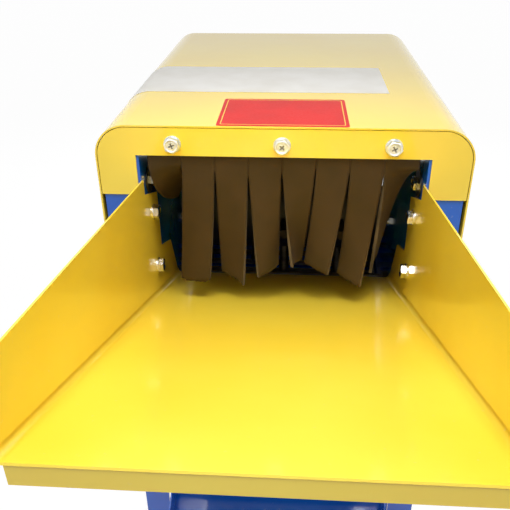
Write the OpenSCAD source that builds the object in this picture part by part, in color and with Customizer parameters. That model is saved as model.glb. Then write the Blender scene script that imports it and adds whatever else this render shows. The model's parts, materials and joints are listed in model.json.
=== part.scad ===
// Electric corn sheller. X is to the right seen from the feed side, Y runs to the rear and Z is up.
// The origin is on the floor, at the centre of the four foot holes. Most shapes are drawn from the
// front datum: the front face of the hood plate, at the height of its three bolts.

/* [Height] */
// Height of the three front bolts above the floor
bolt_z = 700; // [660:10:780]

/* [Sheet and fits] */
// Thickness of the yellow sheet
sheet = 1.5; // [1:0.1:2]
// Thickness of the blue body sheet
body_sheet = 2; // [1.5:0.1:2.5]
// Clearance between pieces that move past each other
run_gap = 0.3; // [0.2:0.05:0.5]
// Radial clearance of a shaft in its bore
shaft_gap = 0.05; // [0.02:0.01:0.08]
// Seam between pieces that nest in each other
seam = 0.1; // [0.05:0.05:0.2]

/* [Hood plate] */
// Width of the yellow plate on each side of the feed mouth
plate_side = 35.6; // [32:0.1:42]
// Height of the plate's top edge over its bolts
plate_top = 14.9; // [13:0.1:18]
// Distance from the bolts down to the foot of the plate's side legs
plate_leg = 50.9; // [40:0.1:70]
// Radius of the plate's top corners
corner_r = 28; // [20:1:34]
// Gap between the feed mouth's edge and the hopper's wall
mouth_gap = 5.5; // [4:0.5:8]
// Distance from the bolts down to the top edge of the feed mouth
mouth_top = 11.3; // [10:0.1:14]
// Distance between the three front bolts
bolt_pitch = 100; // [80:1:110]

/* [Hood] */
// Gap between the edge of the front plate and the inside of the hood
hood_gap = 0.7; // [0.5:0.1:1.5]
// Length of the hood from front to rear
hood_len = 440; // [420:5:480]
// Distance from the bolts down to the hood's side edges
skirt = 100; // [92:1:106]
// Distance from the bolts down to the hinge line of the hood
hinge_drop = 24; // [20:1:30]
// Outer diameter of the hinge barrel
hinge_barrel_d = 9; // [8:0.5:9.5]
// Diameter of the hinge pin
hinge_pin_d = 5; // [4:0.5:6]
// Width of the hinge
hinge_w = 240; // [160:10:280]
// Distance of the hood knobs behind the front plate
knob_y = 120; // [90:5:130]
// Diameter of the star knobs
knob_d = 30; // [24:1:34]

/* [Bare plates] */
// Distance of the red plate behind the front edge
red_y = 2; // [1:0.5:6]
// Width of the red plate
red_w = 120; // [80:1:130]
// Depth of the red plate
red_l = 86; // [60:1:90]
// Distance of the white plate's right end from the middle
white_right = 107.5; // [90:0.5:120]
// How far the white plate hangs down over the hood's left corner
white_drop = 22; // [15:1:28]
// Depth of the white plate
white_l = 110; // [60:1:120]
// Distance of the white plate behind the front edge
white_y = 114; // [100:1:130]
// Thickness of both plates
label_t = 0.4; // [0.3:0.1:0.6]

/* [Hopper] */
// Inner width of the feed hopper
hopper_w = 260; // [230:0.5:290]
// Reach of the hopper in front of the plate
hopper_reach = 340; // [300:5:400]
// Slope of the hopper floor in degrees
floor_slope = 20.5; // [18:0.5:22]
// Distance from the bolts down to the hopper floor at the plate
floor_drop = 167; // [160:1:175]
// How far the floor's tongue reaches behind the plate
tongue = 135; // [120:1:140]
// Distance from the bolts down to the walls' top edge at the plate
wall_drop = 36; // [32:1:44]
// Rise of the walls' top edge towards the front in degrees
wall_rise = 8; // [5:0.5:10]
// Depth of the wall tabs inside the feed mouth
tab_y = 50; // [44:1:56]
// Distance from the bolts down to the root of the tabs
tab_drop = 51; // [48:1:60]
// Height of the floor's side flanges
flange_h = 48; // [40:1:54]
// Inner radius of the floor's bends
bend_r = 5; // [3:0.5:7]
// Depth of the turned-down front lip
lip_h = 14; // [10:1:20]

/* [Hopper bolts] */
// Distance of the tab bolts behind the plate
tab_bolt_y = 25; // [20:1:30]
// Distance from the bolts down to the upper tab bolt
tab_bolt_drop = 81; // [76:1:90]
// Distance from the bolts down to the lower tab bolt
low_bolt_drop = 143; // [138:1:148]
// Distance of the large-washer bolt behind the plate
side_bolt_y = 33; // [30:1:38]
// Distance from the front bolts down to the large-washer bolt
side_bolt_drop = 48; // [44:1:52]

/* [Curtain] */
// Gap between the curtain's edge and the edge of the feed mouth
curtain_side = 10; // [9:0.5:14]
// Thickness of the rubber
rubber_t = 3; // [2:0.2:4]
// Number of strips
strips = 8; // [8:1:8]
// Distance from the bolts down to the strips' bending line
bend_drop = 24; // [22:0.5:28]
// Slit between two strips
slit = 1.2; // [0.8:0.1:1.6]

/* [Fasteners] */
// Thread diameter of the sheet bolts
bolt_d = 8; // [6:1:8]
// Width across flats of their heads and nuts
bolt_af = 13; // [10:0.5:13]
// Height of their heads
bolt_head = 5.3; // [4:0.1:6]
// Height of their nuts
nut_h = 6.5; // [5:0.1:7]
// Diameter of their washers
washer_d = 16; // [14:0.5:17]
// Thickness of their washers
washer_t = 1.6; // [1:0.1:2]
// Diameter of the two large washers
big_washer_d = 28; // [24:1:30]

/* [Rotor] */
// Distance of the rotor shaft behind the plate
rotor_y = 250; // [246:1:256]
// Distance from the bolts down to the rotor shaft
rotor_drop = 172; // [168:1:176]
// Diameter of the rotor shaft
shaft_d = 25; // [20:1:28]
// Diameter of the rotor drum
drum_d = 120; // [110:1:124]
// Wall of the rotor drum
drum_wall = 5; // [3:0.5:8]
// Gap between the drum's ends and the chamber's side walls
drum_gap = 10; // [8:0.5:24]
// Height of the shelling pegs above the drum
peg_h = 34; // [28:1:36]
// Diameter of the shelling pegs
peg_d = 12; // [10:1:16]
// Rows of pegs round the drum
peg_rows = 6; // [4:1:8]
// Pegs in a row
pegs_per_row = 7; // [5:1:8]
// Gap between the pegs and the concave
shell_gap = 16; // [14:1:18]
// Diameter of the concave's rods
rod_d = 8; // [6:1:9]
// Angle between two rods in degrees
rod_step = 9.5; // [8:0.5:12]

/* [Body] */
// Distance from the bolts down to the bottom of the side walls
chamber_drop = 300; // [296:1:306]
// Distance from the bolts down to the foot of the front panel
panel_drop = 425; // [400:1:430]
// Slope of the kernel chute in degrees
kernel_slope = 24; // [22:0.5:25]
// Reach of the kernel chute in front of the plate
kernel_reach = 90; // [60:5:120]
// Slope of the cob chute in degrees
cob_slope = 15; // [12:0.5:17]
// Reach of the cob chute behind the body
cob_reach = 130; // [80:5:160]
// Height of the cob chute's sides
cob_side = 60; // [50:1:70]

/* [Stand] */
// Leg width of the steel angle
angle_w = 30; // [28:1:30]
// Thickness of the steel angle
angle_t = 3; // [2.5:0.5:4]
// Side of the foot plates
foot_w = 70; // [60:1:80]
// Thickness of the foot plates
foot_t = 6; // [5:1:8]
// Radius of the foot holes
foot_hole_r = 6; // [5:0.5:7]
// Distance from a foot hole to the outer face of the legs
foot_hole_out = 16; // [14:1:20]
// Height of the motor's mounting face above the floor
motor_base_z = 100; // [90:1:110]

/* [Motor and drive] */
// Height of the motor shaft over its feet
motor_h = 90; // [86:1:92]
// Distance of the motor shaft behind the plate
motor_y = 300; // [296:1:306]
// Diameter of the motor's barrel
motor_d = 150; // [140:1:156]
// Length of the motor's barrel
motor_l = 200; // [180:1:210]
// Diameter of the motor shaft
motor_shaft_d = 24; // [19:1:24]
// Pitch diameter of the rotor pulley
rotor_pulley_d = 125; // [118:1:128]
// Pitch diameter of the motor pulley
motor_pulley_d = 80; // [75:1:84]
// Width of both pulleys
pulley_w = 18; // [17:0.5:20]
// Top width of the belt
belt_w = 13; // [12:0.5:14]
// Height of the belt
belt_h = 8; // [7:0.5:9]
// Gap between the hood's side and the belt guard
guard_side = 3; // [2:0.5:6]
// Gap between the belt guard's back sheet and the pulleys
pulley_gap = 4.2; // [3:0.1:8]
// Gap between the belt guard and the belt
guard_gap = 8; // [6:0.5:10]
// Distance from the belt plane to the motor's end face
motor_nose = 51; // [48:1:60]
// Width of the motor's terminal box
terminal_w = 84; // [70:1:90]
// Height of the terminal box
terminal_h = 60; // [50:1:66]
// Depth of the terminal box
terminal_l = 34; // [32:1:40]

/* [Switch] */
// Width of the switch box
switch_w = 42; // [36:1:44]
// Depth of the switch box
switch_l = 80; // [76:1:90]
// Height of the switch box
switch_h = 100; // [90:1:110]
// Distance from the bolts down to the top of the switch box
switch_drop = 185; // [180:1:200]
// Width of the rocker
rocker_w = 20; // [16:1:22]
// Height of the rocker
rocker_h = 30; // [26:1:34]

/* [Hidden] */
$fn = 64;

panel_in = body_sheet + sheet;
mouth_w = hopper_w + 2 * mouth_gap;
plate_w = mouth_w + 2 * plate_side;
curtain_w = mouth_w - 2 * curtain_side;
side_in = hopper_w / 2 + 2 * sheet;
side_out = side_in + body_sheet;
drum_l = 2 * (side_in - drum_gap);
hood_in = plate_w / 2 + hood_gap;
hood_out = hood_in + sheet;
body_half = plate_w / 2 - 2.1;
seal_half = hood_in - run_gap - 0.3;
seal_t = seal_half - body_half;
rubber_y = panel_in + rubber_t / 2;
rim_foot = mouth_top + 30;
clamp_y = panel_in + rubber_t;
clamp_t = 3;
clamp_top = 8;
rear_y = hood_len - body_sheet;
hinge_y = hood_len + 5;
leg_front = panel_in;
leg_rear = rear_y - angle_w;
foot_front = leg_front + angle_w / 2;
foot_rear = leg_rear + angle_w / 2;
plate_back = (foot_front + foot_rear) / 2;
rail_drop = skirt + 18;
rail_h = 40;
tan_f = tan(floor_slope);
mouth_foot = floor_drop + panel_in * tan_f + sheet / cos(floor_slope) + seam;
lip_y = -hopper_reach;
tip_r = drum_d / 2 + peg_h;
concave_r = tip_r + shell_gap;
concave_from = 208;
concave_to = 332;
grate_half = side_in - 2;
grate_plate = 6;
grate_out = concave_r + 2.5 * rod_d;
tan_k = tan(kernel_slope);
chute_half = side_in - seam;
tan_c = tan(cob_slope);
cob_start_y = rotor_y + (grate_out + 1) * cos(concave_to);
cob_start_z = -rotor_drop + (grate_out + 1) * sin(concave_to);
cob_side_in = 24;
motor_z = motor_base_z + motor_h - bolt_z;
belt_out_r = rotor_pulley_d / 2 + 3;
drive_ratio = rotor_pulley_d / motor_pulley_d;
motor_rail_t = 5;
motor_rail_w = 40;
motor_foot_y = 140;
motor_foot_x = 125;
motor_foot_in = 45;
foot_web_w = 92;
foot_web_h = 40;
guard_in_x = hood_out + guard_side;
belt_x = guard_in_x + sheet + pulley_gap + pulley_w / 2;
motor_face_x = belt_x - motor_nose;
terminal_x = motor_face_x - terminal_w - 36;
terminal_y = motor_y - motor_d / 2 - terminal_l;
gland_in = 13;
guard_slot_h = 120;
guard_out_x = belt_x + pulley_w / 2 + guard_gap + sheet;
switch_z = -switch_drop - switch_h;
rest_seam = 0.05;
hood_top = plate_top + hood_gap + sheet;

// Tip corners of each strip, left then right: x from the strip's own root edge, y from the curtain
// and z from the front bolts
STRIP_TIPS = [
    [10, 75, -88, -8, 92, -72],
    [-8.5, 3, -148, -7.6, -7, -144],
    [2.2, 12, -144, -4.5, -11, -146],
    [8.8, -12, -136, -2.4, 12, -133],
    [10.9, -12, -123, -10.8, 17, -131],
    [-7.5, 10, -129, -15.2, -11, -131],
    [-4.9, 10, -140, -14, -12, -143],
    [-3.7, 6, -138, -26, 36, -134]
];

// How late each strip's left and right edges bend: 1 is a straight slope from the root, less curls early
STRIP_BEND = [
    [2.6, 1.35], [1.8, 1.8], [1.8, 1.8], [1.8, 1.8], [1.8, 1.8], [1.8, 1.8], [1.8, 1.8], [1.8, 0.5]
];

// Moves children from the front datum to the part's own frame
module front() translate([0, -plate_back, bolt_z]) children();

// Extrudes a (y, z) outline along X from x0
module yz_plate(x0, t) translate([x0, 0, 0]) rotate([90, 0, 90]) linear_extrude(t) children();

// Extrudes an (x, z) outline along Y from y0
module xz_plate(y0, t) translate([0, y0 + t, 0]) rotate([90, 0, 0]) linear_extrude(t) children();

// Cylinder along X from x0
module x_cyl(x0, l, r, y = 0, z = 0) translate([x0, y, z]) rotate([0, 90, 0]) cylinder(h = l, r = r);

// Cylinder along Y from y0
module y_cyl(y0, l, r, x = 0, z = 0) translate([x, y0, z]) rotate([-90, 0, 0]) cylinder(h = l, r = r);

// Outline with a flat foot and two round top corners
module dome(half, top, bottom, r) intersection() {
    union() {
        translate([-half, bottom - r]) square([2 * half, top - bottom]);
        translate([-half + r, bottom]) square([2 * (half - r), top - bottom]);
        for (s = [-1, 1]) translate([s * (half - r), top - r]) circle(r);
    }
    translate([-half, bottom]) square([2 * half, top - bottom]);
}

// Strip between two dome outlines
module dome_ring(half, top, r, t, bottom) difference() {
    dome(half, top, bottom, r);
    dome(half - t, top - t, bottom - 1, r - t);
}

// Hexagon across flats af
module hex(af, h) cylinder(h = h, d = af / cos(30), $fn = 6);

// Bolt set with its head at the origin facing -Z, gripping a stack of the given thickness
module bolt_set(grip, head_w = washer_d, head_wt = washer_t, nut_w = washer_d) {
    translate([0, 0, -head_wt]) cylinder(h = head_wt, d = head_w);
    translate([0, 0, -head_wt - bolt_head]) hex(bolt_af, bolt_head);
    translate([0, 0, -head_wt]) cylinder(h = grip + head_wt + washer_t + nut_h + 2, d = bolt_d);
    translate([0, 0, grip]) cylinder(h = washer_t, d = nut_w);
    translate([0, 0, grip + washer_t]) hex(bolt_af, nut_h);
}

// Hole that a sheet bolt passes through
module bolt_hole_x(x0, l, y, z) x_cyl(x0, l, bolt_d / 2 + run_gap, y, z);

// Mirrors children to the left side
module left_side() mirror([1, 0, 0]) children();

// Steel angle along Z with its corner at the origin, legs towards -X and +Y
module angle_up(h) {
    translate([-angle_w, 0, 0]) cube([angle_w, angle_t, h]);
    translate([-angle_t, 0, 0]) cube([angle_t, angle_w, h]);
}

// Leg with its foot plate, right side; rear legs are turned round
module leg(rear) front() {
    foot_z = -bolt_z;
    y0 = rear ? leg_rear + angle_w : leg_front;
    y_hole = rear ? foot_rear : foot_front;
    translate([body_half, y0, foot_z]) mirror([0, rear ? 1 : 0, 0]) angle_up(bolt_z - rail_drop);
    difference() {
        translate([body_half - foot_w + 2 * foot_hole_out, y_hole - foot_w / 2, foot_z])
            cube([foot_w, foot_w, foot_t]);
        translate([body_half + foot_hole_out, y_hole, foot_z - 1]) cylinder(h = foot_t + 2, r = foot_hole_r);
    }
}

module leg_front_left() color("royalblue") left_side() leg(false);
module leg_front_right() color("royalblue") leg(false);
module leg_rear_left() color("royalblue") left_side() leg(true);
module leg_rear_right() color("royalblue") leg(true);

// Side rail under the hood's skirt, with an open notch for the knob
module top_rail() front() difference() {
    union() {
        translate([side_out, leg_front, -rail_drop]) cube([body_half - side_out, rear_y - leg_front, angle_t]);
        translate([body_half - angle_t, leg_front, -rail_drop]) cube([angle_t, rear_y - leg_front, rail_h]);
    }
    translate([body_half - angle_t - 1, knob_y - bolt_d, -knob_drop - bolt_d / 2 - 1])
        cube([angle_t + 2, 2 * bolt_d, rail_h]);
}
knob_drop = rail_drop - rail_h / 2 - bolt_d / 2;
module top_rail_left() color("royalblue") left_side() top_rail();
module top_rail_right() color("royalblue") top_rail();

lower_x = body_half - angle_t;
lower_top = motor_base_z - bolt_z - motor_rail_t;

// Rectangle of angle between the legs that carries the motor rails
module lower_frame() color("royalblue") front() {
    for (s = [0, 1]) mirror([s, 0, 0]) {
        translate([lower_x - angle_t, leg_front + angle_t, lower_top - angle_w])
            cube([angle_t, rear_y - leg_front - 2 * angle_t, angle_w]);
        translate([lower_x - angle_w, leg_front + angle_t, lower_top - angle_t])
            cube([angle_w, rear_y - leg_front - 2 * angle_t, angle_t]);
    }
    for (y = [leg_front + angle_t, rear_y - 2 * angle_t])
        translate([-lower_x + angle_t, y, lower_top - angle_w]) cube([2 * lower_x - 2 * angle_t, angle_t, angle_w]);
}

// Two slotted flats that the motor slides on to tighten the belt
module motor_rails() color("royalblue") front() for (s = [-1, 1]) {
    y = motor_y + s * motor_foot_y / 2;
    difference() {
        translate([-lower_x, y - motor_rail_w / 2, lower_top]) cube([2 * lower_x, motor_rail_w, motor_rail_t]);
        for (x = motor_bolt_x) slot_y(x, y, lower_top - 1, motor_rail_t + 2, bolt_d / 2 + 0.5, 12);
    }
}
motor_bolt_x = [motor_face_x - motor_foot_in, motor_face_x - motor_foot_in - motor_foot_x];

// Upright slot with round ends along Y
module slot_y(x, y, z, h, r, l) {
    for (s = [-1, 1]) translate([x, y + s * (l / 2 - r), z]) cylinder(h = h, r = r);
    translate([x - r, y - l / 2 + r, z]) cube([2 * r, l - 2 * r, h]);
}

// Blue front panel behind the hood plate, with a rim that carries the seal
module front_panel() color("royalblue") front() {
    difference() {
        xz_plate(sheet, body_sheet) difference() {
            dome(body_half, plate_top - 2.1, -panel_drop, corner_r - 2);
            translate([-side_in, -mouth_foot]) square([2 * side_in, mouth_foot - mouth_top]);
        }
        for (x = [-1, 0, 1]) y_cyl(0, 2 * panel_in, bolt_d / 2 + run_gap, x * bolt_pitch, 0);
    }
    xz_plate(panel_in, 14) dome_ring(body_half, plate_top - 2.1, corner_r - 2, body_sheet, -rim_foot);
}

// Blue rear panel with the cob opening
module rear_panel() color("royalblue") front() xz_plate(rear_y, body_sheet) difference() {
    translate([-body_half, -chamber_drop - 10]) square([2 * body_half, chamber_drop + 10 - hinge_drop - 2]);
    translate([-chute_half, cob_z(hood_len) - sheet - seam]) square([2 * chute_half, cob_side + 70]);
}

// Chamber side wall with holes for the shaft and the hopper bolts
module side_wall() front() difference() {
    yz_plate(side_in, body_sheet) polygon([
        [panel_in, -chamber_drop], [panel_in, clamp_top - 4], [panel_in + 16, clamp_top - 4],
        [panel_in + 16, clamp_top + 2], [rear_y - 8, clamp_top + 2], [rear_y, -hinge_drop - 8],
        [rear_y, -chamber_drop]
    ]);
    x_cyl(side_in - 1, body_sheet + 2, shaft_d / 2 + 6, rotor_y, -rotor_drop);
    for (d = [tab_bolt_drop, low_bolt_drop]) bolt_hole_x(side_in - 1, body_sheet + 2, tab_bolt_y, -d);
    bolt_hole_x(side_in - 1, body_sheet + 2, side_bolt_y, -side_bolt_drop);
    for (s = [-1, 1]) bolt_hole_x(side_in - 1, body_sheet + 2, rotor_y + s * bearing_pitch / 2, -rotor_drop);
}
module side_wall_left() color("royalblue") left_side() side_wall();
module side_wall_right() color("royalblue") side_wall();

// Floor height of the kernel chute at y
function kernel_z(y) = -chamber_drop - 2 - (rear_y - y) * tan_k;

// Kernel trough from under the concave to the front
module kernel_chute() color("royalblue") front() {
    y0 = -kernel_reach;
    y1 = rear_y - seam;
    yz_plate(-chute_half, 2 * chute_half) polygon([
        [y0, kernel_z(y0)], [y1, kernel_z(y1)], [y1, kernel_z(y1) + sheet / cos(kernel_slope)],
        [y0, kernel_z(y0) + sheet / cos(kernel_slope)]
    ]);
    for (x = [-chute_half, chute_half - sheet]) yz_plate(x, sheet) polygon([
        [y0, kernel_z(y0)], [y1, kernel_z(y1)], [y1, -chamber_drop + 8], [panel_in + 1, -chamber_drop + 8],
        [panel_in + 1, kernel_z(0) + 50], [y0 + 20, kernel_z(y0) + 50], [y0, kernel_z(y0) + 34]
    ]);
}

// Floor height of the cob chute at y
function cob_z(y) = cob_start_z - (y - cob_start_y) * tan_c;

// Cob trough from the concave's rear end out through the rear panel
module cob_chute() color("gold") front() {
    y1 = hood_len + cob_reach;
    yz_plate(-chute_half + seam, 2 * (chute_half - seam)) polygon([
        [cob_start_y, cob_z(cob_start_y) - sheet], [y1, cob_z(y1) - sheet], [y1, cob_z(y1)],
        [cob_start_y, cob_z(cob_start_y)]
    ]);
    for (x = [-chute_half + seam, chute_half - seam - sheet]) yz_plate(x, sheet) polygon([
        [cob_start_y + cob_side_in, cob_z(cob_start_y + cob_side_in) - sheet], [y1, cob_z(y1) - sheet],
        [y1, cob_z(y1) + cob_side - 16], [y1 - 16, cob_z(y1) + cob_side], [rear_y - 26, cob_z(rear_y) + cob_side],
        [cob_start_y + cob_side_in, cob_z(cob_start_y) + 4]
    ]);
}

// Rods in two side plates that hold the cobs against the rotor
module concave_grate() color("dimgray") front() translate([0, rotor_y, -rotor_drop]) {
    for (x = [-grate_half, grate_half - grate_plate]) yz_plate(x, grate_plate) intersection() {
        difference() {
            circle(grate_out);
            circle(concave_r);
        }
        polygon(concat([[0, 0]], [for (a = [concave_from - 3, 270, concave_to + 3]) 3 * concave_r * [cos(a), sin(a)]]));
    }
    for (a = [concave_from : rod_step : concave_to])
        x_cyl(-grate_half + 1, 2 * grate_half - 2, rod_d / 2, (concave_r + rod_d / 2) * cos(a), (concave_r + rod_d / 2) * sin(a));
    for (x = [-grate_half, grate_half - grate_plate]) for (a = [225, 315])
        x_cyl(x > 0 ? x : -side_in, side_in - grate_half + grate_plate, 7, (concave_r + 12) * cos(a), (concave_r + 12) * sin(a));
}

// Yellow inverted-U plate round the feed mouth
module hood_front_plate() color("gold") front() difference() {
    xz_plate(0, sheet) difference() {
        dome(plate_w / 2, plate_top, -plate_leg, corner_r);
        translate([-mouth_w / 2, -plate_leg - 1]) square([mouth_w, plate_leg + 1 - mouth_top]);
    }
    for (x = [-1, 0, 1]) y_cyl(-1, sheet + 2, bolt_d / 2 + run_gap, x * bolt_pitch, 0);
}

// Rubber seal on the front panel's rim, under the hood
module hood_seal() color("black") front() xz_plate(panel_in + 1, 12)
    dome_ring(seal_half, plate_top - 2.1 + seal_t, corner_r - 2 + seal_t, seal_t, -rim_foot + 1);

// Flat bar that presses the curtain to the panel
module clamp_bar() color("dimgray") front() difference() {
    translate([-curtain_w / 2, clamp_y, -mouth_top + 1]) cube([curtain_w, clamp_t, clamp_top + mouth_top - 1]);
    for (x = [-1, 0, 1]) y_cyl(clamp_y - 1, clamp_t + 2, bolt_d / 2 + run_gap, x * bolt_pitch, 0);
}

// Solid top of the rubber curtain
module curtain_band() color("black") front() difference() {
    translate([-curtain_w / 2, panel_in, -bend_drop + rubber_t / 2 + run_gap])
        cube([curtain_w, rubber_t, clamp_top + bend_drop - rubber_t / 2 - run_gap]);
    for (x = [-1, 0, 1]) y_cyl(panel_in - 1, rubber_t + 2, bolt_d / 2 + run_gap, x * bolt_pitch, 0);
}

// Three bolts that clamp plate, panel, curtain and bar
module curtain_bolts() color("silver") front() for (x = [-1, 0, 1])
    translate([x * bolt_pitch, 0, 0]) rotate([-90, 0, 0]) bolt_set(clamp_y + clamp_t);

strip_pitch = curtain_w / strips;
strip_rings = 12;

// Corner of a strip at share u of its length: k is 0 for the left edge and 3 for the right
function strip_edge(i, u, k) = let (
    tip = STRIP_TIPS[i],
    x0 = -curtain_w / 2 + (k == 0 ? i * strip_pitch + slit / 2 : (i + 1) * strip_pitch - slit / 2)
) [
    x0 + tip[k] * pow(max(u, 0), min(1.3, STRIP_BEND[i][k / 3])),
    rubber_y + tip[k + 1] * pow(max(u, 0), STRIP_BEND[i][k / 3]),
    -bend_drop + (tip[k + 2] + bend_drop) * u
];

// Direction of a vector
function unit(v) = v / norm(v);

// Four corners of a strip's cross-section at share u with thickness t
function strip_ring(i, u, t) = let (
    l = strip_edge(i, u, 0),
    r = strip_edge(i, u, 3),
    down = unit(strip_edge(i, u + 0.01, 0) + strip_edge(i, u + 0.01, 3) - l - r),
    n = unit(cross(unit(r - l), down)) * t / 2
) [l - n, r - n, r + n, l + n];

// Rounded root and then the hanging length, as pairs of share and thickness
function strip_stations() = concat(
    [for (a = [80 : -25 : 5]) [-sin(a) * rubber_t / 2 / 115, rubber_t * cos(a)]],
    [for (k = [0 : strip_rings]) [k / strip_rings, rubber_t]]
);

// One rubber strip of the curtain
module strip(i) color("black") front() {
    stations = strip_stations();
    m = len(stations);
    points = [for (s = stations) each strip_ring(i, s[0], s[1])];
    sides = [for (k = [0 : m - 2]) for (j = [0 : 3]) let (
        a = 4 * k + j,
        b = 4 * k + (j + 1) % 4
    ) each [[a, b, b + 4], [a, b + 4, a + 4]]];
    last = 4 * (m - 1);
    ends = [[0, 2, 1], [0, 3, 2], [last, last + 1, last + 2], [last, last + 2, last + 3]];
    polyhedron(points = points, faces = concat(sides, ends));
}

// Places children on the sloping floor: x across, y down the slope, z square to it
module on_floor() translate([0, 0, -floor_drop]) rotate([-floor_slope, 0, 0]) children();

floor_front = -hopper_reach / cos(floor_slope);
floor_back = tongue / cos(floor_slope);

// Cross-section of the floor sheet: x across and y up from the floor's face
module floor_section(side_h) for (s = [0, 1]) mirror([s, 0]) {
    bend_x = hopper_w / 2 + sheet - bend_r;
    translate([0, -sheet]) square([bend_x, sheet]);
    translate([bend_x + bend_r, bend_r]) square([sheet, side_h - bend_r]);
    intersection() {
        difference() {
            translate([bend_x, bend_r]) circle(bend_r + sheet);
            translate([bend_x, bend_r]) circle(bend_r);
        }
        translate([bend_x, -sheet]) square([bend_r + sheet, bend_r + sheet]);
    }
}

// Hopper floor sheet with side flanges, slanted ends and a turned-down lip
module hopper_floor() color("gold") front() difference() {
    union() {
        on_floor() translate([0, floor_back, 0]) rotate([90, 0, 0])
            linear_extrude(floor_back - floor_front) floor_section(flange_h);
        translate([-hopper_w / 2 + bend_r, lip_y, -floor_drop - lip_y * tan_f - lip_h - sheet])
            cube([hopper_w - 2 * bend_r, sheet, lip_h]);
    }
    on_floor() yz_plate(-hopper_w, 2 * hopper_w)
        polygon([[floor_back + 1, bend_r], [floor_back - 6, bend_r], [floor_back - 52, flange_h + 1],
            [floor_back + 1, flange_h + 1]]);
    for (s = [-1, 1]) bolt_hole_x(s * (hopper_w / 2 + sheet) - 5, 10, tab_bolt_y, -low_bolt_drop);
}

// Height of the walls' lower edge at y, just over the floor's bend
function wall_foot(y) = -floor_drop - y * tan_f + (bend_r + seam) / cos(floor_slope);

// Height of the walls' top edge at y
function wall_head(y) = -wall_drop - y * tan(wall_rise);

// Side wall of the hopper with the tab that enters the feed mouth
module hopper_wall() front() difference() {
    yz_plate(hopper_w / 2, sheet) polygon([
        [lip_y, wall_foot(lip_y)], [tab_y, wall_foot(tab_y)], [tab_y, -tab_drop - tab_y * tan_f],
        [-run_gap, -tab_drop], [-run_gap, wall_head(0)], [lip_y + 24, wall_head(lip_y + 24)],
        [lip_y, wall_head(lip_y) - 22]
    ]);
    for (d = [tab_bolt_drop, low_bolt_drop]) bolt_hole_x(hopper_w / 2 - 1, sheet + 2, tab_bolt_y, -d);
}
module hopper_wall_left() color("gold") left_side() hopper_wall();
module hopper_wall_right() color("gold") hopper_wall();

// Bolt set along X from the inner face at x0 of the right side
module side_set(x0, grip, y, z, head_w = washer_d) translate([x0, y, z]) rotate([0, 90, 0])
    bolt_set(grip, head_w);

// Two bolts a side through wall, flange and body
module hopper_bolts() color("silver") front() for (s = [0, 1]) mirror([s, 0, 0])
    for (d = [tab_bolt_drop, low_bolt_drop]) side_set(hopper_w / 2, side_out - hopper_w / 2, tab_bolt_y, -d);

// One bolt a side with a large washer on the chamber wall
module side_wall_bolts() color("silver") front() for (s = [0, 1]) mirror([s, 0, 0])
    side_set(side_in, body_sheet, side_bolt_y, -side_bolt_drop, big_washer_d);

bearing_pitch = 99;
bearing_l = 27;
bearing_ring_l = 34;

// Oval flange bearing for the rotor shaft
module bearing() front() translate([side_out, rotor_y, -rotor_drop]) rotate([0, 90, 0]) difference() {
    union() {
        linear_extrude(13) hull() {
            circle(34, $fn = 32);
            for (s = [-1, 1]) translate([0, s * bearing_pitch / 2]) circle(15, $fn = 32);
        }
        cylinder(h = bearing_l, r = 31);
        cylinder(h = bearing_ring_l, r = shaft_d / 2 + 4.5);
    }
    translate([0, 0, -1]) cylinder(h = bearing_ring_l + 2, r = shaft_d / 2 + shaft_gap);
    for (s = [-1, 1]) translate([0, s * bearing_pitch / 2, -1]) cylinder(h = 15, r = bolt_d / 2 + run_gap);
}
module bearing_left() color("steelblue") left_side() bearing();
module bearing_right() color("steelblue") bearing();

// Bolts of both bearings
module bearing_bolts() color("silver") front() for (s = [0, 1]) mirror([s, 0, 0]) for (k = [-1, 1])
    side_set(side_in, body_sheet + 13, rotor_y + k * bearing_pitch / 2, -rotor_drop);

hinge_knuckles = 5;
knuckle_w = hinge_w / hinge_knuckles;

// Knuckles and plate of one hinge leaf: dir is -1 down and 1 up
module hinge_leaf(first, dir, plate_h) front() difference() {
    union() {
        translate([-hinge_w / 2, hood_len, -hinge_drop + (dir > 0 ? hinge_barrel_d / 2 + 0.8 : -hinge_barrel_d / 2 - 0.8 - plate_h)])
            cube([hinge_w, 2, plate_h]);
        for (k = [first : 2 : hinge_knuckles - 1]) {
            x0 = -hinge_w / 2 + k * knuckle_w + run_gap / 2;
            x_cyl(x0, knuckle_w - run_gap, hinge_barrel_d / 2, hinge_y, -hinge_drop);
            translate([x0, hood_len, -hinge_drop + (dir > 0 ? 0 : -hinge_barrel_d / 2 - 1)])
                cube([knuckle_w - run_gap, 2, hinge_barrel_d / 2 + 1]);
        }
    }
    x_cyl(-hinge_w / 2 - 1, hinge_w + 2, hinge_pin_d / 2 + shaft_gap, hinge_y, -hinge_drop);
}
module hinge_fixed_leaf() color("silver") hinge_leaf(0, -1, 20);
module hinge_moving_leaf() color("silver") hinge_leaf(1, 1, 14);

// Pin of the hood hinge with a head at each end
module hinge_pin() color("gray") front() {
    x_cyl(-hinge_w / 2 - 3, hinge_w + 6, hinge_pin_d / 2, hinge_y, -hinge_drop);
    for (x = [-hinge_w / 2 - 3, hinge_w / 2 + run_gap]) x_cyl(x, 2.7, hinge_pin_d / 2 + 1, hinge_y, -hinge_drop);
}

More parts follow.
